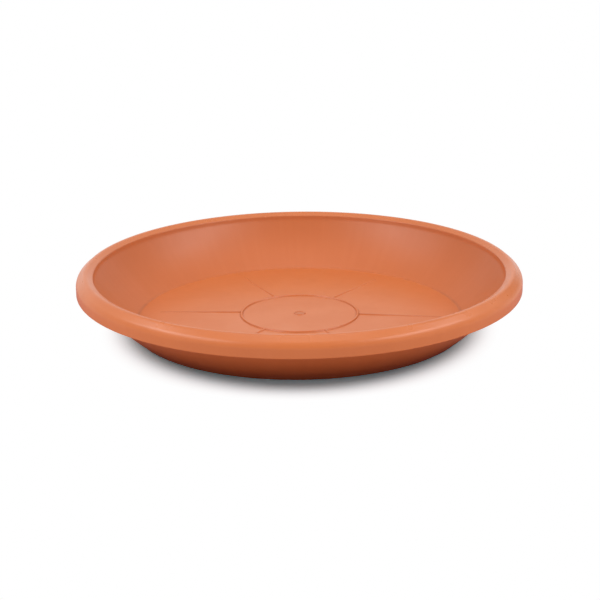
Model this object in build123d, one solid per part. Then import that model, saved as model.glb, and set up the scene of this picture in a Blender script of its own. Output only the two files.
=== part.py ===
from build123d import *
import math
import os

# Round plant saucer: one moulding, built as its floor, wall, rolled rim, foot and floor ribs.
# Millimetres. +Z is up and the origin is the centre of the underside, on the ground.
# Every ring-shaped feature is a section in the XZ plane (X is the radius) turned about Z.

# Overall sizes
rim_diameter = 150.0
overall_height = 20.0
base_diameter = 113.0

# Wall: bulge is how far the inner face bows out from a straight line between its ends
wall_thickness = 2.6
wall_bulge = 1.0

# Floor: its edge lies inside the base's edge, and crown is the flat centre's rise above that edge
floor_edge_inset = 1.4
floor_thickness = 1.8
floor_crown = 0.45

# Foot ring under the floor's edge
foot_height = 0.6
foot_width = 3.0
foot_edge_round = 0.25

# Rolled rim: a low upright edge above the crease with the wall, a rounded corner and a slope
# up to the crown, then a sloping shoulder down to the skirt
rim_width = 5.8
inner_edge_depth = 0.5
inner_edge_round = 0.6
inner_slope = 26.0
crown_inset = 3.4
crown_round = 1.6
shoulder_slope = 40.0
shoulder_round = 3.2
hollow_drop = 0.25
skirt_thickness = 2.0
skirt_depth = 6.55
skirt_edge_round = 0.5

# Raised ribs on the floor
ring_rib_diameter = 39.6
ring_rib_height = 0.45
rib_base_width = 1.0
rib_top_width = 0.45
radial_rib_count = 6
radial_rib_height = 0.4
radial_rib_end_height = 0.08
radial_rib_end_gap = 7.0
radial_rib_turn = -5.2

# Moulding mark at the centre: a low raised ring round a sunken middle
gate_mark_diameter = 4.2
gate_mark_height = 0.3
gate_mark_rim_width = 0.35
gate_mark_draft = 0.25
gate_mark_sunken_height = 0.08

# Radii and levels that follow from the sizes above
rim_radius = rim_diameter / 2
base_radius = base_diameter / 2
floor_edge_radius = base_radius - floor_edge_inset
ring_radius = ring_rib_diameter / 2
flat_radius = ring_radius + rib_base_width / 2
edge_level = foot_height + floor_thickness
centre_level = edge_level + floor_crown
rib_end_radius = floor_edge_radius - radial_rib_end_gap
skirt_edge_level = overall_height - skirt_depth


def floor_level(radius):
    """Height of the floor's top: flat inside the ring rib, then falling evenly to its edge."""
    outward = max(0.0, radius - flat_radius) / (floor_edge_radius - flat_radius)
    return centre_level - floor_crown * outward


def turned(*edges):
    """Solid made by turning a closed section of the XZ plane about the Z axis."""
    outline = Plane.XZ * Wire(list(edges))
    return revolve(Face(outline), Axis.Z)


def outlined(corners):
    """Straight edges round a list of corners, back to the first."""
    closed = zip(corners, corners[1:] + corners[:1])
    return [Line(start, end) for start, end in closed]


def raised(degrees):
    """Unit direction at an angle above the outward radius."""
    return Vector(math.cos(math.radians(degrees)), math.sin(math.radians(degrees)))


def beside(centre, radius, degrees, next_radius, outward):
    """Centre, at a radius from Z, of an arc that shares a sloped tangent line with another arc."""
    facing = raised(degrees)
    across = outward - centre.X
    rise = (radius - next_radius - across * facing.X) / facing.Y
    return Vector(outward, centre.Y + rise)


class RimCurve:
    """The rim's outside: inner edge, slope, crown arc, sloping shoulder, corner arc and skirt."""

    def __init__(self):
        inward = 90 + inner_slope
        facing = 90 - shoulder_slope
        crown_centre = Vector(rim_radius - crown_inset, overall_height - crown_round)
        self.rise_top = crown_centre + raised(inward) * crown_round
        self.crown_middle = crown_centre + raised((inward + facing) / 2) * crown_round
        self.slope_top = crown_centre + raised(facing) * crown_round
        inner_radius = rim_radius - rim_width
        inner_centre = beside(
            crown_centre, crown_round, inward, inner_edge_round, inner_radius + inner_edge_round
        )
        self.rise_bottom = inner_centre + raised(inward) * inner_edge_round
        self.inner_middle = inner_centre + raised((inward + 180) / 2) * inner_edge_round
        self.inner_edge = inner_centre - Vector(inner_edge_round, 0)
        self.crease = self.inner_edge - Vector(0, inner_edge_depth)
        corner_centre = beside(
            crown_centre, crown_round, facing, shoulder_round, rim_radius - shoulder_round
        )
        self.slope_bottom = corner_centre + raised(facing) * shoulder_round
        self.corner_middle = corner_centre + raised(facing / 2) * shoulder_round
        self.skirt_top = corner_centre + Vector(shoulder_round, 0)


rim = RimCurve()
skirt_top_inside = rim.skirt_top - Vector(skirt_thickness, 0)


class WallCurve:
    """The wall's two faces: arcs about one centre, from the floor's edge to the rim's crease."""

    def __init__(self):
        self.foot = Vector(floor_edge_radius, edge_level)
        self.crease = rim.crease
        chord = self.crease - self.foot
        outward = Vector(chord.Y, -chord.X).normalized()
        self.inner_radius = chord.length**2 / (8 * wall_bulge) + wall_bulge / 2
        self.outer_radius = self.inner_radius + wall_thickness
        middle = (self.foot + self.crease) / 2
        self.centre = middle + outward * (wall_bulge - self.inner_radius)
        self.belly = middle + outward * wall_bulge

    def opposite(self, point):
        """Point of the outer face straight across the wall from a point of the inner face."""
        return self.centre + (point - self.centre).normalized() * self.outer_radius

    def outer_at(self, level):
        """Point of the outer face at a height."""
        drop = level - self.centre.Y
        return Vector(self.centre.X + math.sqrt(self.outer_radius**2 - drop**2), level)

    def outer_between(self, start, end):
        """Arc of the outer face between two of its points."""
        half_way = self.opposite((start + end) / 2)
        return ThreePointArc(start, half_way, end)


wall = WallCurve()
wall_top_outside = wall.opposite(wall.crease)
wall_bottom_outside = wall.outer_at(foot_height)
floor_edge_below = Vector(floor_edge_radius, foot_height)


def floor_plate():
    """Floor of even thickness: a flat centre and a shallow slope down to the wall."""
    down = Vector(0, -floor_thickness)
    top_centre = Vector(0, centre_level)
    top_bend = Vector(flat_radius, centre_level)
    corners = [
        top_centre,
        top_bend,
        wall.foot,
        floor_edge_below,
        top_bend + down,
        top_centre + down,
    ]
    return turned(*outlined(corners))


def side_wall():
    """Flared, slightly bowed wall from the floor's edge up to the rim."""
    return turned(
        ThreePointArc(wall.foot, wall.belly, wall.crease),
        Line(wall.crease, wall_top_outside),
        wall.outer_between(wall_top_outside, wall_bottom_outside),
        Line(wall_bottom_outside, floor_edge_below),
        Line(floor_edge_below, wall.foot),
    )


def rim_roll():
    """Rolled top of the rim, over the top of the hollow behind the skirt."""
    hollow_outside = Vector(skirt_top_inside.X, wall_top_outside.Y - hollow_drop)
    hollow_inside = wall.outer_at(hollow_outside.Y)
    return turned(
        Line(rim.crease, rim.inner_edge),
        ThreePointArc(rim.inner_edge, rim.inner_middle, rim.rise_bottom),
        Line(rim.rise_bottom, rim.rise_top),
        ThreePointArc(rim.rise_top, rim.crown_middle, rim.slope_top),
        Line(rim.slope_top, rim.slope_bottom),
        ThreePointArc(rim.slope_bottom, rim.corner_middle, rim.skirt_top),
        Line(rim.skirt_top, skirt_top_inside),
        Line(skirt_top_inside, hollow_outside),
        Line(hollow_outside, hollow_inside),
        wall.outer_between(hollow_inside, wall_top_outside),
        Line(wall_top_outside, wall.crease),
    )


def rim_skirt():
    """Turned-down outer lip of the rim, with a rounded lower edge."""
    edge_inside = Vector(skirt_top_inside.X, skirt_edge_level)
    edge_outside = Vector(rim_radius - skirt_edge_round, skirt_edge_level)
    edge_centre = edge_outside + Vector(0, skirt_edge_round)
    edge_top = edge_centre + Vector(skirt_edge_round, 0)
    return turned(
        Line(edge_inside, edge_outside),
        ThreePointArc(edge_outside, edge_centre + raised(-45) * skirt_edge_round, edge_top),
        Line(edge_top, rim.skirt_top),
        Line(rim.skirt_top, skirt_top_inside),
        Line(skirt_top_inside, edge_inside),
    )


def foot_ring():
    """Low ring under the floor's edge that the saucer stands on."""
    inner_radius = base_radius - foot_width
    corners = [
        Vector(inner_radius, 0),
        Vector(base_radius, 0),
        wall_bottom_outside,
        floor_edge_below,
        Vector(inner_radius, floor_level(inner_radius) - floor_thickness),
    ]
    ring = turned(*outlined(corners))
    ground_edges = ring.edges().filter_by(GeomType.CIRCLE).group_by(Axis.Z)[0]
    return fillet(ground_edges, foot_edge_round)


def ring_rib():
    """Raised ring with drafted flanks and a flat top, on the floor's flat centre."""
    half_base = rib_base_width / 2
    half_top = rib_top_width / 2
    top_level = centre_level + ring_rib_height
    corners = [
        Vector(ring_radius - half_base, centre_level),
        Vector(ring_radius + half_base, centre_level),
        Vector(ring_radius + half_top, top_level),
        Vector(ring_radius - half_top, top_level),
    ]
    return turned(*outlined(corners))


def rib_section(radius, height):
    """Cross-section of a radial rib: a trapezoid standing on the floor at a radius along X."""
    level = floor_level(radius)
    half_base = rib_base_width / 2
    half_top = rib_top_width / 2
    return Face(
        Wire.make_polygon(
            [
                (radius, -half_base, level),
                (radius, half_base, level),
                (radius, half_top, level + height),
                (radius, -half_top, level + height),
            ]
        )
    )


def radial_rib(ring):
    """Straight rib along X, from the ring rib's flank out towards the wall, getting lower."""
    sections = [
        rib_section(ring_radius, radial_rib_height),
        rib_section(flat_radius, radial_rib_height),
        rib_section(rib_end_radius, radial_rib_end_height),
    ]
    level_part = loft(sections[:2], ruled=True)
    sloped_part = loft(sections[1:], ruled=True)
    return level_part + sloped_part - ring


def gate_mark():
    """Low mark left by the moulding gate: a drafted ring with a sunken middle."""
    top_level = centre_level + gate_mark_height
    sunken_level = centre_level + gate_mark_sunken_height
    outer_radius = gate_mark_diameter / 2
    rim_outside = outer_radius - gate_mark_draft
    rim_inside = rim_outside - gate_mark_rim_width
    corners = [
        Vector(0, centre_level),
        Vector(outer_radius, centre_level),
        Vector(rim_outside, top_level),
        Vector(rim_inside, top_level),
        Vector(rim_inside - gate_mark_draft, sunken_level),
        Vector(0, sunken_level),
    ]
    return turned(*outlined(corners))


def saucer():
    """All features by name, in place."""
    ring = ring_rib()
    features = {
        "floor_plate": floor_plate(),
        "side_wall": side_wall(),
        "rim_roll": rim_roll(),
        "rim_skirt": rim_skirt(),
        "foot_ring": foot_ring(),
        "ring_rib": ring,
        "gate_mark": gate_mark(),
    }
    rib = radial_rib(ring)
    for number in range(radial_rib_count):
        angle = radial_rib_turn + number * 360 / radial_rib_count
        features[f"radial_rib_{number + 1}"] = Rot(0, 0, angle) * rib
    return features


os.makedirs("parts", exist_ok=True)
for name, shape in saucer().items():
    export_step(shape, f"parts/{name}.step")
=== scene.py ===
"""Looks of a round plant saucer: one polypropylene moulding, shown as its named features.

Every ring-shaped feature is a section in the XZ half-plane (X is the radius) turned about Z.
Sections are in millimetres; meshes are in metres and lie where the CAD nodes lie.
"""

import logging
import math
from dataclasses import dataclass, replace
from enum import Enum

import bmesh
import bpy
from mathutils import Matrix, Vector


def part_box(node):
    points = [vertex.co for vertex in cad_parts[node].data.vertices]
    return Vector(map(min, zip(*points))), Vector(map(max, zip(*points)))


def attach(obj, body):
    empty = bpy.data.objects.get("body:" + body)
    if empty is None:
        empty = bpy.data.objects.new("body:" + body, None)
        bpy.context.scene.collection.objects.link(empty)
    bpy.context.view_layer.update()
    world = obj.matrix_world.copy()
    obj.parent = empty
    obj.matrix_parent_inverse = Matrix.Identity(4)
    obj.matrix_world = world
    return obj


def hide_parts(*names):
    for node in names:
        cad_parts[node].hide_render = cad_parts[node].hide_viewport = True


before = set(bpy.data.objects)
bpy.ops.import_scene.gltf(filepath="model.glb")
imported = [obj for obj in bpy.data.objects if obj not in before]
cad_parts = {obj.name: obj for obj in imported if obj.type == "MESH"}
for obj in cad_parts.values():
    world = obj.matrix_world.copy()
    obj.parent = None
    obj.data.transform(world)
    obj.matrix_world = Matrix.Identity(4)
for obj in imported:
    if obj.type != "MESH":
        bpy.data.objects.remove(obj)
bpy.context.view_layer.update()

log = logging.getLogger("saucer")

Tree = bpy.types.NodeTree
Socket = bpy.types.NodeSocket
Material = bpy.types.Material

MM = 0.001
WHITE = (1.0, 1.0, 1.0, 1.0)
# Sections: width of the bands that hold the shading at the ends of a stretch, and steps of curves
HAIR = 0.02
HAIR_SHARE = 0.25
ARC_HAIR_SHARE = 0.1
CORNER_STEPS = 6
ARC_STEP = math.radians(3)
LEAST_ARC_STEPS = 8
TURN_SEGMENTS = 288
SEAM_GAP = 0.001
CREASE_ANGLE = math.radians(28)
# Power of one square metre of area lamp that looks paper white
LAMP_WATTS = 4.0


class Body(Enum):
    """Moving bodies of the CAD model; the saucer is a single one."""

    SAUCER = "root"


class Slot(Enum):
    """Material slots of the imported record."""

    PLASTIC = "moulded_polypropylene"


class Mix(Enum):
    """What a mix node mixes: its data type, its first input's place and its output's place."""

    NUMBER = ("FLOAT", 2, 0)
    COLOUR = ("RGBA", 6, 2)


class ViewRay(Enum):
    """Light Path outputs of the rays that see the white surround."""

    CAMERA = "Is Camera Ray"
    GLOSSY = "Is Glossy Ray"
    TRANSMISSION = "Is Transmission Ray"


def linear(hex_colour: str) -> tuple[float, float, float, float]:
    """Turn an sRGB hex colour into linear RGBA.

    Args:
        hex_colour: Colour such as "#C8693C".
    Returns:
        Linear red, green, blue and an alpha of one.
    """
    channels = []
    for start in (1, 3, 5):
        value = int(hex_colour[start:start + 2], 16) / 255
        channels.append(value / 12.92 if value <= 0.04045 else ((value + 0.055) / 1.055) ** 2.4)
    return (*channels, 1.0)


def add_node(
    tree: Tree, kind: str, inputs: dict | None = None, **settings: object
) -> bpy.types.NodeOutputs:
    """Add a node to a tree, with its settings, input values and links.

    Args:
        tree: Tree of a material, the world or a geometry group.
        kind: Blender's identifier of the node.
        inputs: Input name or index to a value, or to the output socket that feeds it.
        settings: Attributes of the node itself.
    Returns:
        The new node's output sockets.
    """
    node = tree.nodes.new(kind)
    for name, value in settings.items():
        setattr(node, name, value)
    for key, value in (inputs or {}).items():
        if isinstance(value, Socket):
            tree.links.new(value, node.inputs[key])
        else:
            node.inputs[key].default_value = value
    return node.outputs


def calc(tree: Tree, operation: str, *values: Socket | float) -> Socket:
    """Add one step of arithmetic on numbers or sockets, and return its result."""
    return add_node(tree, "ShaderNodeMath", dict(enumerate(values)), operation=operation)[0]


def length_of(tree: Tree, vector: Socket) -> Socket:
    """Add the length of a vector."""
    return add_node(tree, "ShaderNodeVectorMath", {0: vector}, operation="LENGTH")["Value"]


def ramp(tree: Tree, value: Socket, ends: tuple, levels: tuple = (0.0, 1.0)) -> Socket:
    """Add a smooth step between two levels.

    Args:
        tree: Tree of a material.
        value: Socket that drives the step.
        ends: Values at which the step starts and ends.
        levels: Levels before and after it.
    Returns:
        Socket of the stepped level.
    """
    inputs = {"Value": value, 1: ends[0], 2: ends[1], 3: levels[0], 4: levels[1]}
    return add_node(tree, "ShaderNodeMapRange", inputs, interpolation_type="SMOOTHSTEP")[0]


def mixed(
    tree: Tree,
    kind: Mix,
    share: Socket,
    first: Socket | tuple | float,
    second: Socket | tuple | float,
) -> Socket:
    """Add a mix of two numbers or two colours.

    Args:
        tree: Tree of a material or the world.
        kind: What is mixed.
        share: Socket of the second one's share.
        first: What shows at a share of nought.
        second: What shows at a share of one.
    Returns:
        Socket of the mix.
    """
    data_type, slot, result = kind.value
    inputs = {0: share, slot: first, slot + 1: second}
    return add_node(tree, "ShaderNodeMix", inputs, data_type=data_type)[result]


def new_material(name: str) -> Material:
    """Make a material with an empty node tree."""
    made = bpy.data.materials.new(name)
    made.use_nodes = True
    made.node_tree.nodes.clear()
    return made


def square_sheet(name: str, half_side: float, material: Material) -> bpy.types.Object:
    """Make a level square sheet about the origin, for the stage."""
    corners = [(x * half_side, y * half_side, 0.0) for x, y in ((-1, -1), (1, -1), (1, 1), (-1, 1))]
    mesh = bpy.data.meshes.new(name)
    mesh.from_pydata(corners, [], [(0, 1, 2, 3)])
    mesh.materials.append(material)
    sheet = bpy.data.objects.new(name, mesh)
    bpy.context.scene.collection.objects.link(sheet)
    return sheet


def at(radius: float, level: float) -> Vector:
    """Point or direction in a section, in millimetres."""
    return Vector((radius, level))


def cut_back(points: list[Vector], length: float) -> list[Vector]:
    """Shorten a line of points at its end.

    Args:
        points: Points of the line.
        length: Length to take off.
    Returns:
        The points that are left.
    """
    kept = list(points)
    while length > 0:
        step = (kept[-1] - kept[-2]).length
        if step > length:
            kept[-1] = kept[-1].lerp(kept[-2], length / step)
            break
        length -= step
        kept.pop()
    return kept


@dataclass
class Stretch:
    """One line or arc of a section, and how far the corner at its end is rounded."""

    points: list[Vector]
    round_end: float = 0.0


class Section:
    """Outline of a ring-shaped piece, drawn clockwise with the radius along X and height along Y."""

    def __init__(self, start: Vector) -> None:
        """Start the outline at a point."""
        self.pen = start
        self.stretches: list[Stretch] = []

    def line(self, end: Vector, round_end: float = 0.0) -> "Section":
        """Draw a straight stretch, with a hair-thin band at each end to hold its shading.

        Args:
            end: Point that the stretch runs to.
            round_end: Reach of the rounded corner at that point.
        Returns:
            This section.
        """
        length = (end - self.pen).length
        share = min(HAIR_SHARE, HAIR / length)
        points = [self.pen.lerp(end, t) for t in (0, share, 1 - share, 1)]
        self.stretches.append(Stretch(points, round_end))
        self.pen = end
        return self

    def arc_to(self, end: Vector, centre: Vector) -> "Section":
        """Draw an arc the short way round, finely stepped at its ends so that shading meets the next.

        Args:
            end: Point that the stretch runs to.
            centre: Centre of the circle.
        Returns:
            This section.
        """
        arm = self.pen - centre
        start = math.atan2(arm.y, arm.x)
        turn = math.atan2(end.y - centre.y, end.x - centre.x) - start
        turn = (turn + math.pi) % math.tau - math.pi
        steps = max(LEAST_ARC_STEPS, round(abs(turn) / ARC_STEP))
        hair = ARC_HAIR_SHARE / steps
        shares = [0, hair, *[i / steps for i in range(1, steps)], 1 - hair, 1]
        angles = [start + turn * share for share in shares]
        points = [centre + at(math.cos(a), math.sin(a)) * arm.length for a in angles]
        self.stretches.append(Stretch(points))
        self.pen = points[-1]
        return self

    def outline(self) -> list[Vector]:
        """Join the stretches, with each rounded corner drawn as a short curve.

        Returns:
            The section's points in order.
        """
        points: list[Vector] = []
        cut_start = 0.0
        for index, stretch in enumerate(self.stretches):
            corner = stretch.points[-1]
            kept = cut_back(stretch.points, stretch.round_end)
            kept = cut_back(kept[::-1], cut_start)[::-1]
            points.extend(kept[1:] if points and cut_start == 0 else kept)
            cut_start = stretch.round_end
            if stretch.round_end == 0:
                continue
            following = cut_back(self.stretches[index + 1].points[::-1], cut_start)[-1]
            for step in range(1, CORNER_STEPS):
                share = step / CORNER_STEPS
                before = kept[-1].lerp(corner, share)
                after = corner.lerp(following, share)
                points.append(before.lerp(after, share))
        return points


class NodeShape:
    """A geometry node tree with named inputs, and the meshes that it makes."""

    def __init__(self, name: str, sockets: dict[str, str]) -> None:
        """Start a tree.

        Args:
            name: Name of the tree.
            sockets: Input name to its socket kind, beside the inputs that every tree has.
        """
        self.tree = bpy.data.node_groups.new(name, "GeometryNodeTree")
        interface = self.tree.interface
        interface.new_socket("Geometry", in_out="INPUT", socket_type="NodeSocketGeometry")
        interface.new_socket("Geometry", in_out="OUTPUT", socket_type="NodeSocketGeometry")
        common = {"Crease Angle": "NodeSocketFloat", "Material": "NodeSocketMaterial"}
        self.identifiers: dict[str, str] = {}
        for socket, kind in {**sockets, **common}.items():
            made = interface.new_socket(socket, in_out="INPUT", socket_type=kind)
            self.identifiers[socket] = made.identifier
        self.entry = add_node(self.tree, "NodeGroupInput")

    def close(self, mesh: Socket) -> None:
        """End the tree: shade it and give it its material.

        Args:
            mesh: Output socket of the shape so far.
        """
        tree = self.tree
        angle = add_node(tree, "GeometryNodeInputMeshEdgeAngle")["Unsigned Angle"]
        soft = add_node(
            tree,
            "FunctionNodeCompare",
            {0: angle, 1: self.entry["Crease Angle"]},
            data_type="FLOAT",
            operation="LESS_EQUAL",
        )
        for smooth, domain in ((True, "FACE"), (soft[0], "EDGE")):
            shaded = {0: mesh, 2: smooth}
            mesh = add_node(tree, "GeometryNodeSetShadeSmooth", shaded, domain=domain)[0]
        finish = {0: mesh, "Material": self.entry["Material"]}
        dressed = add_node(tree, "GeometryNodeSetMaterial", finish)
        add_node(tree, "NodeGroupOutput", {0: dressed[0]})

    def make(
        self, name: str, source: bpy.types.Mesh, material: Material, **values: float
    ) -> bpy.types.Object:
        """Run the tree on a source mesh and keep the result as a plain mesh object.

        Args:
            name: Name of the piece.
            source: Mesh that the tree starts from.
            material: Finish of the piece.
            values: Input name to its value.
        Returns:
            The finished piece, at the origin.
        """
        piece = bpy.data.objects.new(name, source)
        bpy.context.scene.collection.objects.link(piece)
        modifier = piece.modifiers.new("shape", "NODES")
        modifier.node_group = self.tree
        values.update({"Crease Angle": CREASE_ANGLE, "Material": material})
        for key, value in values.items():
            modifier[self.identifiers[key]] = value
        graph = bpy.context.evaluated_depsgraph_get()
        mesh = bpy.data.meshes.new_from_object(
            piece.evaluated_get(graph), preserve_all_data_layers=True, depsgraph=graph
        )
        piece.modifiers.remove(modifier)
        piece.data = mesh
        mesh.name = name
        bpy.data.meshes.remove(source)
        return piece


class TurnedSection(NodeShape):
    """Turns a section about Z: a grid of section points by angle steps, closed at its seam."""

    def __init__(self) -> None:
        """Build the tree."""
        super().__init__("turned_section", {"Segments": "NodeSocketInt", "Gap": "NodeSocketFloat"})
        tree = self.tree
        entry = self.entry
        count = add_node(tree, "GeometryNodeAttributeDomainSize", {0: entry["Geometry"]})
        columns = add_node(
            tree, "FunctionNodeIntegerMath", {0: entry["Segments"], 1: 1}, operation="ADD"
        )[0]
        sides = {"Vertices X": count["Point Count"], "Vertices Y": columns}
        grid = add_node(tree, "GeometryNodeMeshGrid", sides)
        index = add_node(tree, "GeometryNodeInputIndex")[0]
        row, column = [
            add_node(tree, "FunctionNodeIntegerMath", {0: index, 1: columns}, operation=operation)[0]
            for operation in ("DIVIDE", "MODULO")
        ]
        step = calc(tree, "DIVIDE", math.tau, entry["Segments"])
        place = add_node(tree, "GeometryNodeInputPosition")[0]
        point = add_node(
            tree,
            "GeometryNodeSampleIndex",
            {"Geometry": entry["Geometry"], "Value": place, "Index": row},
            data_type="FLOAT_VECTOR",
            domain="POINT",
        )
        turned = add_node(
            tree,
            "ShaderNodeVectorRotate",
            {"Vector": point["Value"], "Angle": calc(tree, "MULTIPLY", column, step)},
            rotation_type="Z_AXIS",
        )
        placed = {"Geometry": grid["Mesh"], "Position": turned[0]}
        moved = add_node(tree, "GeometryNodeSetPosition", placed)
        seam = {"Geometry": moved[0], "Distance": entry["Gap"]}
        self.close(add_node(tree, "GeometryNodeMergeByDistance", seam)[0])

    def turn(self, name: str, section: Section, material: Material) -> bpy.types.Object:
        """Turn one section into a piece.

        Args:
            name: Name of the piece.
            section: Its outline, in millimetres.
            material: Its finish.
        Returns:
            The finished piece.
        """
        points = [(p.x * MM, 0.0, p.y * MM) for p in section.outline()]
        source = bpy.data.meshes.new(f"{name}_section")
        source.from_pydata(points, [(i, i + 1) for i in range(len(points) - 1)], [])
        return self.make(name, source, material, Segments=TURN_SEGMENTS, Gap=SEAM_GAP * MM)


class RibFan(NodeShape):
    """Sets copies of one rib round Z at equal angles."""

    def __init__(self) -> None:
        """Build the tree."""
        super().__init__("rib_fan", {"Count": "NodeSocketInt", "Turn": "NodeSocketFloat"})
        tree = self.tree
        entry = self.entry
        points = add_node(tree, "GeometryNodePoints", {"Count": entry["Count"]})
        index = add_node(tree, "GeometryNodeInputIndex")[0]
        step = calc(tree, "DIVIDE", math.tau, entry["Count"])
        angle = calc(tree, "MULTIPLY_ADD", index, step, entry["Turn"])
        turn = {"Axis": (0.0, 0.0, 1.0), "Angle": angle}
        about_z = add_node(tree, "FunctionNodeAxisAngleToRotation", turn)
        fan = {"Points": points[0], "Instance": entry["Geometry"], "Rotation": about_z[0]}
        copies = add_node(tree, "GeometryNodeInstanceOnPoints", fan)
        self.close(add_node(tree, "GeometryNodeRealizeInstances", {0: copies[0]})[0])


@dataclass
class MouldedPolypropylene:
    """Terracotta polypropylene, injection moulded against finely textured steel.

    To the eye: satin rather than glossy, with the floor, the rim and the skirt painted paler as
    light, less so towards the wall's foot, faintly cloudy from the pigment, with soft streaks where
    the melt ran outwards from the central gate, a few light scuffs, thin lines of painted shade in
    the corner at the wall's foot and along both sides of the ring rib, and soft painted shade below
    the rim.
    Shares are those of each colour over the ones below it; ends are levels of the noise patterns.
    """

    name: str = "terracotta_polypropylene"
    body: str = "#C76A34"
    # Paler colour painted as light on the floor, the rim and the skirt
    painted_light: str = "#D1743F"
    cloud: str = "#BF6433"
    streak: str = "#D97F50"
    scuff: str = "#E6AA8C"
    # Dark colour painted as shade: corner and ring rib lines, below the rim, and a strip on the ribs
    painted_shade: str = "#8A4426"
    cloud_share: float = 0.2
    streak_share: float = 0.07
    scuff_share: float = 0.06
    # Levels of painted shade: corner line, its breaks, ring rib flanks, below the rim, the strip
    corner_share: float = 0.4
    broken_share: float = 0.5
    flank_share: float = 0.22
    under_rim_share: float = 0.1
    strip_shade_share: float = 0.0
    faint_shade_share: float = 0.2
    # Levels of painted light at the floor's edge, on the rim and on the skirt
    floor_edge_share: float = 0.45
    rim_share: float = 0.85
    skirt_share: float = 0.25
    ior: float = 1.43
    roughness: tuple[float, float] = (0.39, 0.43)
    floor_polish: float = 0.07
    rim_polish: float = 0.14
    floor_edge_mm: float = 55.1
    inside_mm: float = 2.0
    inside_tilt: float = 0.2
    # Radius from which the floor's painted light fades towards the wall's foot
    light_fade_mm: float = 28.0
    crease_mm: float = 69.2
    # Radius from which the painted shade below the rim starts
    unshaded_wall_mm: float = 60.0
    shoulder_mm: float = 74.3
    ring_mm: float = 19.8
    ring_flank_mm: float = 0.55
    corner_line_mm: float = 0.9
    flank_line_mm: float = 0.45
    # Lines of painted shade are full in front of the first depth and faint behind the second
    full_shade_mm: float = 10.0
    faint_shade_mm: float = 32.0
    # Strip of painted shade: full within this distance of the middle, faint beyond twice it
    strip_mm: float = 5.0
    edge_blur_mm: float = 0.5
    cloud_mm: float = 14.0
    cloud_detail: float = 4.0
    cloud_ends: tuple[float, float] = (0.35, 0.65)
    broken_ends: tuple[float, float] = (0.35, 0.6)
    streak_turns: float = 22.0
    streak_mm: float = 50.0
    streak_detail: float = 3.0
    streak_ends: tuple[float, float] = (0.42, 0.72)
    gate_clear_mm: float = 16.0
    scuff_mm: float = 4.0
    scuff_detail: float = 6.0
    scuff_roughness: float = 0.7
    scuff_ends: tuple[float, float] = (0.56, 0.72)
    # The steel's texture is about 0.2 mm; it is drawn coarser, because that is under one pixel
    grain_mm: float = 0.8
    grain_detail: float = 2.0
    grain_depth_mm: float = 0.006

    def __post_init__(self) -> None:
        """Start the material's tree: the place on a piece and its radius, in millimetres."""
        self.made = new_material(self.name)
        self.tree = self.made.node_tree
        metres = add_node(self.tree, "ShaderNodeTexCoord")["Object"]
        self.place, self.flat = [
            add_node(
                self.tree, "ShaderNodeVectorMath", {0: metres, 1: scales}, operation="MULTIPLY"
            )[0]
            for scales in ((1 / MM, 1 / MM, 1 / MM), (1 / MM, 1 / MM, 0.0))
        ]
        self.radius = length_of(self.tree, self.flat)

    def noise(self, place: Socket, size_mm: float, detail: float, **inputs: float) -> Socket:
        """Add a noise pattern.

        Args:
            place: Socket of the place that it is read at.
            size_mm: Width of one feature of the pattern.
            detail: Depth of its detail.
            inputs: Other inputs of the noise node.
        Returns:
            Socket of the pattern's level.
        """
        values = {"Vector": place, "Scale": 1 / size_mm, "Detail": detail, **inputs}
        return add_node(self.tree, "ShaderNodeTexNoise", values)[0]

    def edge(self, radius_mm: float) -> tuple[float, float]:
        """Ends of the blurred step at a radius."""
        return radius_mm - self.edge_blur_mm, radius_mm + self.edge_blur_mm

    def lit_and_polished_zones(self) -> tuple[Socket, Socket]:
        """Add the zones of painted light and polish: the floor inside the wall's foot, and the rim.

        Returns:
            Sockets of the floor's share of painted light, fading towards its edge, and the rim's top.
        """
        tree, radius = self.tree, self.radius
        # Painted light: paler floor and rim top, fading towards the wall's foot and down the skirt
        floor_fade = (self.light_fade_mm, self.floor_edge_mm)
        inner = ramp(tree, radius, self.edge(self.floor_edge_mm), (1.0, 0.0))
        lit_floor = ramp(tree, radius, floor_fade, (1.0, self.floor_edge_share))
        inside = ramp(tree, radius, self.edge(self.crease_mm), (0.0, self.rim_share))
        skirt_level = self.skirt_share / self.rim_share
        outside = ramp(tree, radius, self.edge(self.shoulder_mm), (1.0, skirt_level))
        return calc(tree, "MULTIPLY", inner, lit_floor), calc(tree, "MULTIPLY", inside, outside)

    def line_at(self, distance: Socket, centre_mm: float, half_mm: float, share: float) -> Socket:
        """Add a thin soft line at a distance.

        Args:
            distance: Socket of the distance, in millimetres.
            centre_mm: Distance of the line's middle.
            half_mm: Half of the line's width.
            share: Level in the middle of the line.
        Returns:
            Socket of the line's level.
        """
        tree = self.tree
        near, middle, far = [centre_mm + side * half_mm for side in (-1, 0, 1)]
        rise = ramp(tree, distance, (near, middle), (0.0, share))
        return calc(tree, "MULTIPLY", rise, ramp(tree, distance, (middle, far), (1.0, 0.0)))

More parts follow.
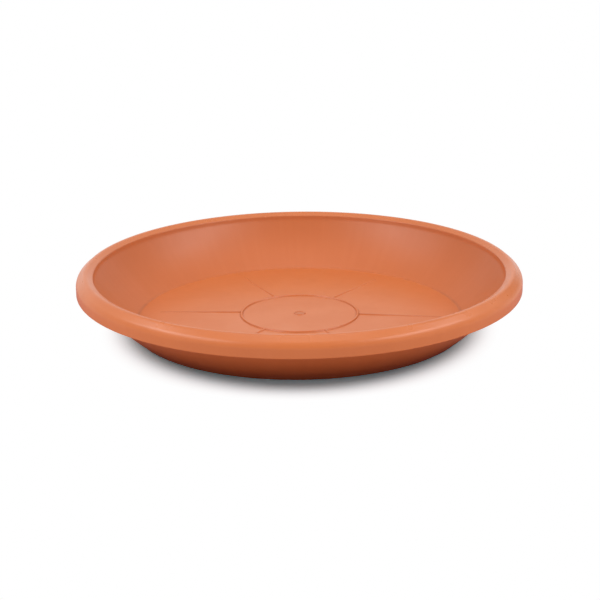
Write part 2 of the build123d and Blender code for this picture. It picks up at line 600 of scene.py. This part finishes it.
    def shade_lines(self, cloud: Socket) -> Socket:
        """Add lines of painted shade: in the corner at the wall's foot, and on both flanks of the
        ring rib.

        The lines are darker towards the front than at the back.

        Args:
            cloud: Socket of a soft pattern that breaks up the corner's line.
        Returns:
            Socket of the painted shade's share.
        """
        tree, radius = self.tree, self.radius
        corner = self.line_at(radius, self.floor_edge_mm, self.corner_line_mm, self.corner_share)
        broken = ramp(tree, cloud, self.broken_ends, (self.broken_share, 1.0))
        across = calc(tree, "ABSOLUTE", calc(tree, "SUBTRACT", radius, self.ring_mm))
        flank = self.line_at(across, self.ring_flank_mm, self.flank_line_mm, self.flank_share)
        lines = calc(tree, "MAXIMUM", calc(tree, "MULTIPLY", corner, broken), flank)
        axes = add_node(tree, "ShaderNodeSeparateXYZ", {0: self.place})
        under = (self.inside_mm - self.edge_blur_mm, self.inside_mm)
        lines = calc(tree, "MULTIPLY", lines, ramp(tree, axes["Z"], under))
        front_to_back = (self.full_shade_mm, self.faint_shade_mm)
        return calc(tree, "MULTIPLY", lines, ramp(tree, axes["Y"], front_to_back, (1.0, self.faint_shade_share)))

    def under_rim_shade(self) -> Socket:
        """Add soft painted shade on the upper part of the wall's inner face, below the rim.

        Returns:
            Socket of the painted shade's share.
        """
        tree, radius = self.tree, self.radius
        normal = add_node(tree, "ShaderNodeTexCoord")["Normal"]
        upward = add_node(tree, "ShaderNodeSeparateXYZ", {0: normal})["Z"]
        rise_ends = (self.unshaded_wall_mm, self.crease_mm)
        fall_ends = (self.crease_mm, self.crease_mm + self.edge_blur_mm)
        share = ramp(tree, radius, rise_ends, (0.0, self.under_rim_share))
        share = calc(tree, "MULTIPLY", share, ramp(tree, upward, (0.0, self.inside_tilt)))
        return calc(tree, "MULTIPLY", share, ramp(tree, radius, fall_ends, (1.0, 0.0)))

    def shade_strip(self) -> Socket:
        """Add painted shade in a strip along the middle of the floor, fainter away from it.

        Returns:
            Socket of the painted shade's share.
        """
        along = add_node(self.tree, "ShaderNodeSeparateXYZ", {0: self.place})["Y"]
        ends = (self.strip_mm, 2 * self.strip_mm)
        levels = (self.strip_shade_share, self.faint_shade_share * self.strip_shade_share)
        return ramp(self.tree, calc(self.tree, "ABSOLUTE", along), ends, levels)

    def streaks(self) -> Socket:
        """Add flow streaks: a pattern narrow round the axis and long outwards from it.

        Returns:
            Socket of the streaks' share.
        """
        tree, radius = self.tree, self.radius
        facing = add_node(tree, "ShaderNodeVectorMath", {0: self.flat}, operation="NORMALIZE")
        along = calc(tree, "MULTIPLY", radius, 1 / self.streak_mm)
        lifted = add_node(tree, "ShaderNodeCombineXYZ", {"Z": along})
        spread = add_node(
            tree,
            "ShaderNodeVectorMath",
            {0: facing[0], 1: (self.streak_turns,) * 3, 2: lifted[0]},
            operation="MULTIPLY_ADD",
        )
        pattern = self.noise(spread[0], 1.0, self.streak_detail)
        share = ramp(tree, pattern, self.streak_ends, (0.0, self.streak_share))
        return calc(tree, "MULTIPLY", share, ramp(tree, radius, (0.0, self.gate_clear_mm)))

    def material(self) -> Material:
        """Lay the layers of colour over each other and finish the material."""
        tree = self.tree
        self.made.diffuse_color = linear(self.body)
        cloud = self.noise(self.place, self.cloud_mm, self.cloud_detail)
        scuff = self.noise(
            self.place, self.scuff_mm, self.scuff_detail, Roughness=self.scuff_roughness
        )
        grain = self.noise(self.place, self.grain_mm, self.grain_detail)
        floor, rim = self.lit_and_polished_zones()
        scuffed = ramp(tree, scuff, self.scuff_ends, (0.0, self.scuff_share))
        # The paler layer is painted light; both layers of the dark colour are painted shade
        layers = [
            (calc(tree, "ADD", floor, rim), self.painted_light),
            (ramp(tree, cloud, self.cloud_ends, (0.0, self.cloud_share)), self.cloud),
            (self.streaks(), self.streak),
            (calc(tree, "MULTIPLY", floor, scuffed), self.scuff),
            (self.shade_lines(cloud), self.painted_shade),
            (self.under_rim_shade(), self.painted_shade),
        ]
        if self.strip_shade_share:
            layers.append((self.shade_strip(), self.painted_shade))
        colour = linear(self.body)
        for share, over in layers:
            colour = mixed(tree, Mix.COLOUR, share, colour, linear(over))
        roughness = ramp(tree, cloud, self.cloud_ends, self.roughness)
        for zone, polish in ((floor, self.floor_polish), (rim, self.rim_polish)):
            roughness = calc(tree, "MULTIPLY_ADD", zone, -polish, roughness)
        texture = {"Height": grain, "Distance": self.grain_depth_mm * MM, "Strength": 1.0}
        bump = add_node(tree, "ShaderNodeBump", texture)
        surface = {
            "Base Color": colour,
            "Roughness": roughness,
            "Normal": bump[0],
            "IOR": self.ior,
        }
        shader = add_node(tree, "ShaderNodeBsdfPrincipled", surface)
        add_node(tree, "ShaderNodeOutputMaterial", {"Surface": shader[0]})
        return self.made


def dress(piece: bpy.types.Object, *nodes: str) -> None:
    """Tie a finished piece to the CAD frame and report it.

    Args:
        piece: Finished mesh object, at the origin.
        nodes: CAD nodes that it stands for.
    """
    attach(piece, Body.SAUCER.value)
    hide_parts(*nodes)
    log.info("%s: %d faces, for %s", piece.name, len(piece.data.polygons), ", ".join(nodes))


@dataclass
class Basin:
    """Floor plate and side wall: the dish itself."""

    floor_edge_radius: float
    centre_level: float
    under_level: float
    crease_level: float
    crease_radius: float
    flat_radius: float
    wall_thickness: float = 2.6
    wall_bulge: float = 1.0
    floor_thickness: float = 1.8
    corner_reach: float = 0.25
    # Where the pieces meet: floor and wall before the corner, wall and rim below the crease
    joint_gap: float = 0.4
    rim_joint_gap: float = 1.3
    # Where the rim's leaning inner side meets the wall's face, below the crease
    seat_gap: float = 0.52

    def __post_init__(self) -> None:
        """Work out the wall's two concentric arcs from its ends and its bulge."""
        self.edge_level = self.under_level + self.floor_thickness
        self.foot = at(self.floor_edge_radius, self.edge_level)
        self.crease = at(self.crease_radius, self.crease_level)
        chord = self.crease - self.foot
        outward = at(chord.y, -chord.x).normalized()
        inner_radius = chord.length_squared / (8 * self.wall_bulge) + self.wall_bulge / 2
        middle = self.foot.lerp(self.crease, 0.5)
        self.centre = middle + outward * (self.wall_bulge - inner_radius)
        self.outer_radius = inner_radius + self.wall_thickness
        self.top_outside = self.opposite(self.crease)
        self.bottom_outside = self.outer_at(self.under_level)
        self.bend = at(self.flat_radius, self.centre_level)
        self.joint = self.foot + (self.bend - self.foot).normalized() * self.joint_gap
        self.seat = self.inner_below_crease(self.seat_gap)
        self.rim_joint = self.inner_below_crease(self.rim_joint_gap)

    def inner_below_crease(self, gap: float) -> Vector:
        """Point of the inner face at a distance below the rim's crease."""
        arm = self.crease - self.centre
        arm.rotate(Matrix.Rotation(-gap / arm.length, 2))
        return self.centre + arm

    def opposite(self, point: Vector) -> Vector:
        """Point of the outer face straight across the wall from a point of the inner face."""
        return self.centre + (point - self.centre).normalized() * self.outer_radius

    def outer_at(self, level: float) -> Vector:
        """Point of the outer face at a height."""
        drop = level - self.centre.y
        return at(self.centre.x + math.sqrt(self.outer_radius**2 - drop**2), level)

    def floor_level(self, radius: float) -> float:
        """Height of the floor's top: flat in the middle, then falling evenly to its edge."""
        outward = max(0.0, radius - self.flat_radius) / (self.floor_edge_radius - self.flat_radius)
        return self.centre_level + (self.edge_level - self.centre_level) * outward

    def floor_section(self) -> Section:
        """Floor of even thickness, up to the rounded corner with the wall."""
        down = at(0.0, self.floor_thickness)
        section = Section(at(0.0, self.centre_level))
        section.line(self.bend).line(self.joint)
        section.line(self.joint - down).line(self.bend - down)
        return section.line(at(0.0, self.centre_level) - down)

    def wall_section(self) -> Section:
        """Bowed wall with the rounded corner at its foot, up to just below the rim's crease."""
        below = at(self.joint.x, self.joint.y - self.floor_thickness)
        section = Section(self.joint).line(self.foot, self.corner_reach)
        section.arc_to(self.rim_joint, self.centre)
        section.line(self.top_outside)
        section.arc_to(self.bottom_outside, self.centre)
        return section.line(below).line(self.joint)

    def build(self, turner: TurnedSection, material: Material) -> None:
        """Make and dress both pieces."""
        dress(turner.turn("floor", self.floor_section(), material), "floor_plate")
        dress(turner.turn("wall", self.wall_section(), material), "side_wall")


@dataclass
class Rim:
    """Rolled rim: its top over the hollow, and its turned-down skirt."""

    basin: Basin
    rim_radius: float
    overall_height: float
    skirt_edge_level: float
    crown_inset: float = 3.4
    crown_round: float = 1.6
    inner_edge_round: float = 0.6
    inner_slope: float = math.radians(26)
    seat_reach: float = 0.5
    shoulder_slope: float = math.radians(40)
    shoulder_round: float = 3.2
    hollow_drop: float = 0.25
    hollow_reach: float = 0.2
    skirt_thickness: float = 2.0
    skirt_edge_round: float = 0.3
    skirt_inside_reach: float = 0.35

    def __post_init__(self) -> None:
        """Work out the inner edge, the crown, the shoulder and where roll and skirt meet."""
        inward = at(-math.sin(self.inner_slope), math.cos(self.inner_slope))
        outward = at(math.sin(self.shoulder_slope), math.cos(self.shoulder_slope))
        crown_radius = self.rim_radius - self.crown_inset
        self.crown_centre = at(crown_radius, self.overall_height - self.crown_round)
        self.inner_centre = self.beside_crown(
            inward, self.inner_edge_round, self.basin.crease.x + self.inner_edge_round
        )
        self.corner_centre = self.beside_crown(
            outward, self.shoulder_round, self.rim_radius - self.shoulder_round
        )
        to_seat = self.basin.seat - self.inner_centre
        sideways = to_seat.normalized() * self.inner_edge_round
        sideways.rotate(Matrix.Rotation(-math.acos(self.inner_edge_round / to_seat.length), 2))
        self.inner_side = self.inner_centre + sideways
        self.rise_bottom = self.inner_centre + inward * self.inner_edge_round
        self.rise_top = self.crown_centre + inward * self.crown_round
        self.slope_top = self.crown_centre + outward * self.crown_round
        self.slope_bottom = self.corner_centre + outward * self.shoulder_round
        self.skirt_top = self.corner_centre + at(self.shoulder_round, 0.0)
        self.skirt_top_inside = self.skirt_top - at(self.skirt_thickness, 0.0)

    def beside_crown(self, facing: Vector, arc_radius: float, radius: float) -> Vector:
        """Find the centre of an arc that shares a sloped tangent line with the crown's arc.

        Args:
            facing: Direction that the line faces.
            arc_radius: Radius of the arc.
            radius: Distance of its centre from the axis.
        Returns:
            The arc's centre.
        """
        across = radius - self.crown_centre.x
        rise = (self.crown_round - arc_radius - across * facing.x) / facing.y
        return self.crown_centre + at(across, rise)

    def roll_section(self) -> Section:
        """Top of the rim, from the crease over the crown, and the hollow's eased top below it."""
        basin = self.basin
        hollow_level = basin.top_outside.y - self.hollow_drop
        hollow_outside = at(self.skirt_top_inside.x, hollow_level)
        hollow_inside = basin.outer_at(hollow_level)
        section = Section(basin.rim_joint).line(basin.seat, self.seat_reach).line(self.inner_side)
        section.arc_to(self.rise_bottom, self.inner_centre)
        section.line(self.rise_top)
        section.arc_to(self.slope_top, self.crown_centre)
        section.line(self.slope_bottom)
        section.arc_to(self.skirt_top, self.corner_centre)
        section.line(self.skirt_top_inside)
        section.line(hollow_outside, self.hollow_reach)
        section.line(hollow_inside, self.hollow_reach)
        section.arc_to(basin.top_outside, basin.centre)
        return section.line(basin.rim_joint)

    def skirt_section(self) -> Section:
        """Turned-down lip, rounded along its lower edge."""
        edge_inside = at(self.skirt_top_inside.x, self.skirt_edge_level)
        edge_bottom = at(self.rim_radius - self.skirt_edge_round, self.skirt_edge_level)
        edge_centre = edge_bottom + at(0.0, self.skirt_edge_round)
        section = Section(self.skirt_top_inside)
        section.line(self.skirt_top).line(edge_centre + at(self.skirt_edge_round, 0.0))
        section.arc_to(edge_bottom, edge_centre)
        section.line(edge_inside, self.skirt_inside_reach)
        return section.line(self.skirt_top_inside)

    def build(self, turner: TurnedSection, material: Material) -> None:
        """Make and dress both pieces."""
        dress(turner.turn("rim", self.roll_section(), material), "rim_roll")
        dress(turner.turn("skirt", self.skirt_section(), material), "rim_skirt")


@dataclass
class Foot:
    """Low ring under the floor's edge that the saucer stands on."""

    basin: Basin
    base_radius: float
    width: float = 3.0
    edge_reach: float = 0.25

    def section(self) -> Section:
        """Ring section with rounded ground edges."""
        inner_radius = self.base_radius - self.width
        inner_level = self.basin.floor_level(inner_radius) - self.basin.floor_thickness
        below = at(self.basin.floor_edge_radius, self.basin.under_level)
        section = Section(at(inner_radius, inner_level))
        section.line(below).line(self.basin.bottom_outside)
        section.line(at(self.base_radius, 0.0), self.edge_reach)
        section.line(at(inner_radius, 0.0), self.edge_reach)
        return section.line(at(inner_radius, inner_level))

    def build(self, turner: TurnedSection, material: Material) -> None:
        """Make and dress the ring."""
        dress(turner.turn("foot", self.section(), material), "foot_ring")


@dataclass
class FloorRelief:
    """Raised ring, radial ribs and gate mark on the floor."""

    basin: Basin
    ring_outer_radius: float
    ring_top_level: float
    mark_radius: float
    mark_top_level: float
    rib_nodes: list[str]
    base_width: float = 1.0
    top_width: float = 0.45
    top_reach: float = 0.12
    reach_share: float = 0.4
    rib_height: float = 0.4
    rib_end_height: float = 0.08
    rib_end_gap: float = 7.0
    rib_turn: float = math.radians(-5.2)
    rib_stations: int = 24
    mark_rim_width: float = 0.35
    mark_draft: float = 0.25
    mark_sunken_height: float = 0.08
    mark_reach: float = 0.1

    def ring_section(self) -> Section:
        """Ring rib: drafted flanks and a flat top with eased edges."""
        level = self.basin.centre_level
        ring_radius = self.ring_outer_radius - self.base_width / 2
        half_top = self.top_width / 2
        section = Section(at(ring_radius - self.base_width / 2, level))
        section.line(at(ring_radius - half_top, self.ring_top_level), self.top_reach)
        section.line(at(ring_radius + half_top, self.ring_top_level), self.top_reach)
        section.line(at(self.ring_outer_radius, level))
        return section.line(at(ring_radius - self.base_width / 2, level))

    def mark_section(self) -> Section:
        """Gate mark: a low drafted ring with eased edges round a sunken middle."""
        level = self.basin.centre_level
        sunken_level = level + self.mark_sunken_height
        rim_outside = self.mark_radius - self.mark_draft
        rim_inside = rim_outside - self.mark_rim_width
        section = Section(at(0.0, sunken_level))
        section.line(at(rim_inside - self.mark_draft, sunken_level), self.mark_reach)
        section.line(at(rim_inside, self.mark_top_level), self.mark_reach)
        section.line(at(rim_outside, self.mark_top_level), self.mark_reach)
        section.line(at(self.mark_radius, level))
        return section.line(at(0.0, level))

    def rib_profile(self, height: float) -> list[Vector]:
        """Rib cross-section at a height: drafted flanks, eased top, from left foot to right."""
        half_base = self.base_width / 2
        half_top = self.top_width / 2
        reach = min(self.top_reach, height * self.reach_share)
        section = Section(at(-half_base, 0.0))
        section.line(at(-half_top, height), reach)
        section.line(at(half_top, height), reach)
        return section.line(at(half_base, 0.0)).outline()

    def rib_mesh(self) -> bpy.types.Mesh:
        """Closed mesh of one rib along X, from the ring's flank outwards, getting lower."""
        start = self.ring_outer_radius
        end = self.basin.floor_edge_radius - self.rib_end_gap
        ring_height = self.ring_top_level - self.basin.centre_level
        flank = (self.base_width - self.top_width) / 2 / ring_height
        work = bmesh.new()
        rows = []
        for station in range(self.rib_stations + 1):
            share = station / self.rib_stations
            radius = start + (end - start) * share
            height = self.rib_height + (self.rib_end_height - self.rib_height) * share
            level = self.basin.floor_level(radius)
            row = []
            for point in self.rib_profile(height):
                inward = flank * point.y if station == 0 else 0.0
                place = Vector((radius - inward, point.x, level + point.y)) * MM
                row.append(work.verts.new(place))
            rows.append(row)
        for near, far in zip(rows, rows[1:]):
            for a in range(len(near) - 1):
                work.faces.new((near[a], far[a], far[a + 1], near[a + 1]))
            work.faces.new((near[-1], far[-1], far[0], near[0]))
        work.faces.new(rows[0])
        work.faces.new(rows[-1][::-1])
        bmesh.ops.recalc_face_normals(work, faces=work.faces)
        mesh = bpy.data.meshes.new("rib")
        work.to_mesh(mesh)
        work.free()
        return mesh

    def build(
        self, turner: TurnedSection, fan: RibFan, material: Material, shade_painted: Material
    ) -> None:
        """Make and dress the ring, the ribs and the mark.

        Args:
            turner: Maker of turned pieces.
            fan: Maker of the ribs.
            material: Finish of the ring.
            shade_painted: Finish of the ribs and the mark, with painted shade.
        """
        dress(turner.turn("ring", self.ring_section(), material), "ring_rib")
        dress(turner.turn("gate", self.mark_section(), shade_painted), "gate_mark")
        count = len(self.rib_nodes)
        ribs = fan.make("ribs", self.rib_mesh(), shade_painted, Count=count, Turn=self.rib_turn)
        dress(ribs, *self.rib_nodes)


@dataclass(frozen=True)
class Softbox:
    """An oblong area lamp that faces the object; at a brightness of one it looks paper white."""

    name: str
    azimuth_degrees: float
    elevation_degrees: float
    distance: float
    width: float
    height: float
    brightness: float

    def build(self, target: Vector) -> None:
        """Make the lamp, place it round the target and turn it there.

        Args:
            target: Point that the lamp faces; azimuth is counted from the camera's side.
        """
        azimuth = math.radians(self.azimuth_degrees)
        elevation = math.radians(self.elevation_degrees)
        level = math.cos(elevation)
        facing = Vector((level * math.sin(azimuth), -level * math.cos(azimuth), math.sin(elevation)))
        lamp = bpy.data.lights.new(self.name, "AREA")
        lamp.shape = "RECTANGLE"
        lamp.size = self.width
        lamp.size_y = self.height
        lamp.energy = LAMP_WATTS * self.width * self.height * self.brightness
        holder = bpy.data.objects.new(self.name, lamp)
        holder.location = target + facing * self.distance
        holder.rotation_euler = (-facing).to_track_quat("-Z", "Y").to_euler()
        bpy.context.scene.collection.objects.link(holder)


@dataclass
class Studio:
    """Pale floor, white surround, dark card, soft lamps and the camera; lengths are in metres."""

    floor_side: float = 6.0
    floor_colour: str = "#AE86A0"
    shadow_near: tuple[float, float, float] = (0.74, 1.36, 1.6)
    shadow_far: tuple[float, float, float] = (1.3, 1.28, 1.32)
    shadow_zone: tuple[float, float] = (0.0585, 0.0758)
    shadow_stretch: tuple[float, float, float] = (1.11, 1.0, 1.0)
    reflected_zone: tuple[float, float] = (0.095, 0.2)
    bounce_zone: tuple[float, float] = (0.068, 0.11)
    bounce_light: float = 1.42
    covered_radius: float = 0.0562
    surround_light: float = 0.3
    flag_place: tuple[float, float, float] = (0.2, 0.15, 0.07)
    flag_faces: tuple[float, float, float] = (0.075, 0.0, 0.018)
    flag_width: float = 0.2
    flag_height: float = 0.2
    flag_thin: float = 0.15
    flag_colour: str = "#151515"
    camera_target: tuple[float, float, float] = (0.00017, 0.0, 0.00761)
    camera_distance: float = 0.525
    camera_elevation: float = math.radians(17.86)
    camera_roll: float = -0.0112
    camera_near: float = 0.01
    camera_lens_mm: float = 92.54
    camera_sensor_mm: float = 36.0
    lamps: tuple[Softbox, ...] = (
        Softbox("overhead_softbox", 0, 90, 1.0, 0.7, 0.7, 1.05),
        Softbox("left_softbox", -72, 45, 1.0, 0.9, 0.26, 4.9),
        Softbox("right_softbox", 72, 45, 1.0, 0.9, 0.26, 4.9),
        Softbox("left_fill", -60, 16, 1.0, 0.6, 0.25, 0.7),
        Softbox("right_fill", 60, 16, 1.0, 0.6, 0.25, 0.7),
    )

    def seen(self, tree: Tree) -> Socket:
        """Add a switch that is one for the rays that see the surround."""
        path = add_node(tree, "ShaderNodeLightPath")
        total = path[ViewRay.CAMERA.value]
        for ray in (ViewRay.GLOSSY, ViewRay.TRANSMISSION):
            total = calc(tree, "MAXIMUM", total, path[ray.value])
        return total

    def build_floor(self) -> None:
        """Make the floor: shadowed near the object, white away from it.

        It is clear from below and where the object covers it, so that the underside can be seen.
        """
        paper = new_material("white_paper")
        tree = paper.node_tree
        seen = self.seen(tree)
        camera_ray = add_node(tree, "ShaderNodeLightPath")[ViewRay.CAMERA.value]
        place = add_node(tree, "ShaderNodeTexCoord")["Object"]
        stretched = add_node(
            tree, "ShaderNodeVectorMath", {0: place, 1: self.shadow_stretch}, operation="MULTIPLY"
        )
        reach = length_of(tree, stretched[0])
        near, reflected, bounced = [
            ramp(tree, reach, zone)
            for zone in (self.shadow_zone, self.reflected_zone, self.bounce_zone)
        ]
        unlit = mixed(tree, Mix.NUMBER, seen, bounced, reflected)
        away = mixed(tree, Mix.NUMBER, camera_ray, unlit, near)
        brightness = mixed(tree, Mix.NUMBER, seen, self.bounce_light, 1.0)
        shadow_near = (*self.shadow_near, 1.0)
        shadow = mixed(tree, Mix.COLOUR, near, shadow_near, (*self.shadow_far, 1.0))
        colour = mixed(tree, Mix.COLOUR, camera_ray, linear(self.floor_colour), shadow)
        matt = add_node(tree, "ShaderNodeBsdfDiffuse", {"Color": colour})
        white = add_node(tree, "ShaderNodeEmission", {"Color": WHITE, "Strength": brightness})
        shown = add_node(tree, "ShaderNodeMixShader", {0: away, 1: matt[0], 2: white[0]})
        below = add_node(tree, "ShaderNodeNewGeometry")["Backfacing"]
        covered = calc(tree, "LESS_THAN", length_of(tree, place), self.covered_radius)
        clear = add_node(tree, "ShaderNodeBsdfTransparent")
        hidden = calc(tree, "MAXIMUM", below, covered)
        sided = add_node(tree, "ShaderNodeMixShader", {0: hidden, 1: shown[0], 2: clear[0]})
        add_node(tree, "ShaderNodeOutputMaterial", {"Surface": sided[0]})
        sheet = square_sheet("studio_floor", self.floor_side / 2, paper)

    def build_flag(self) -> None:
        """Make a dark soft-edged card behind the right side, which only the plastic's gloss sees."""
        felt = new_material("black_felt")
        tree = felt.node_tree
        place = add_node(tree, "ShaderNodeTexCoord")["Object"]
        thin = ramp(tree, length_of(tree, place), (0.0, 1.0), (self.flag_thin, 1.0))
        matt = add_node(tree, "ShaderNodeBsdfDiffuse", {"Color": linear(self.flag_colour)})
        clear = add_node(tree, "ShaderNodeBsdfTransparent")
        soft = add_node(tree, "ShaderNodeMixShader", {0: thin, 1: matt[0], 2: clear[0]})
        add_node(tree, "ShaderNodeOutputMaterial", {"Surface": soft[0]})
        card = square_sheet("studio_flag", 1.0, felt)
        card.location = self.flag_place
        card.scale = (self.flag_width / 2, self.flag_height / 2, 1.0)
        facing = Vector(self.flag_faces) - Vector(self.flag_place)
        card.rotation_euler = facing.to_track_quat("Z", "Y").to_euler()
        card.visible_camera = False
        card.visible_diffuse = False
        card.visible_transmission = False
        card.visible_shadow = False

    def build_surround(self) -> None:
        """Make the world: white where it is seen, softer where it lights."""
        world = bpy.data.worlds.new("white_surround")
        bpy.context.scene.world = world
        world.use_nodes = True
        tree = world.node_tree
        tree.nodes.clear()
        strength = mixed(tree, Mix.NUMBER, self.seen(tree), self.surround_light, 1.0)
        light = add_node(tree, "ShaderNodeBackground", {"Color": WHITE, "Strength": strength})
        add_node(tree, "ShaderNodeOutputWorld", {"Surface": light[0]})

    def build_camera(self) -> None:
        """Set the camera at the photograph's viewing angle."""
        tilt = self.camera_elevation
        forward = Vector((0.0, math.cos(tilt), -math.sin(tilt)))
        level_up = Vector((0.0, math.sin(tilt), math.cos(tilt)))
        roll = self.camera_roll
        right = Vector((math.cos(roll), 0.0, 0.0)) + level_up * math.sin(roll)
        up = right.cross(forward)
        turn = Matrix((right, up, -forward)).transposed()
        lens = bpy.data.cameras.new("camera")
        lens.sensor_fit = "HORIZONTAL"
        lens.sensor_width = self.camera_sensor_mm
        lens.lens = self.camera_lens_mm
        lens.clip_start = self.camera_near
        camera = bpy.data.objects.new("camera", lens)
        place = Vector(self.camera_target) - forward * self.camera_distance
        camera.matrix_world = Matrix.Translation(place) @ turn.to_4x4()
        bpy.context.scene.collection.objects.link(camera)
        bpy.context.scene.camera = camera

    def build(self) -> None:
        """Make the whole stage."""
        bpy.context.scene.view_settings.view_transform = "Standard"
        self.build_camera()
        self.build_floor()
        self.build_flag()
        self.build_surround()
        for lamp in self.lamps:
            lamp.build(Vector((0.0, 0.0, 0.0)))


def top_of(node: str) -> Vector:
    """Highest corner of a CAD node, in millimetres."""
    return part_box(node)[1] / MM


def bottom_of(node: str) -> Vector:
    """Lowest corner of a CAD node, in millimetres."""
    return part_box(node)[0] / MM


def main() -> None:
    """Build the studio and the saucer's pieces, in order."""
    logging.basicConfig(level=logging.INFO, format="%(name)s: %(message)s")
    rim_width = 5.8
    base_radius = 56.5
    Studio().build()
    finish = MouldedPolypropylene()
    plastic = finish.material()
    # Ribs and mark get painted shade, strongest along the middle of the floor, so they look deeper
    shade_painted = replace(finish, name="shaded_terracotta_polypropylene", strip_shade_share=0.22).material()
    turner = TurnedSection()
    fan = RibFan()
    ring_outer_radius = top_of("ring_rib").x
    basin = Basin(
        floor_edge_radius=top_of("floor_plate").x,
        centre_level=top_of("floor_plate").z,
        under_level=bottom_of("floor_plate").z,
        crease_level=top_of("side_wall").z,
        crease_radius=top_of("rim_skirt").x - rim_width,
        flat_radius=ring_outer_radius,
    )
    basin.build(turner, plastic)
    rim = Rim(
        rim_radius=top_of("rim_skirt").x,
        overall_height=top_of("rim_roll").z,
        skirt_edge_level=bottom_of("rim_skirt").z,
        basin=basin,
    )
    rim.build(turner, plastic)
    Foot(basin=basin, base_radius=base_radius).build(turner, plastic)
    relief = FloorRelief(
        basin=basin,
        ring_outer_radius=ring_outer_radius,
        ring_top_level=top_of("ring_rib").z,
        mark_radius=top_of("gate_mark").x,
        mark_top_level=top_of("gate_mark").z,
        rib_nodes=sorted(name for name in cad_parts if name.startswith("radial_rib")),
    )
    relief.build(turner, fan, plastic, shade_painted)


if __name__ == "__main__":
    main()
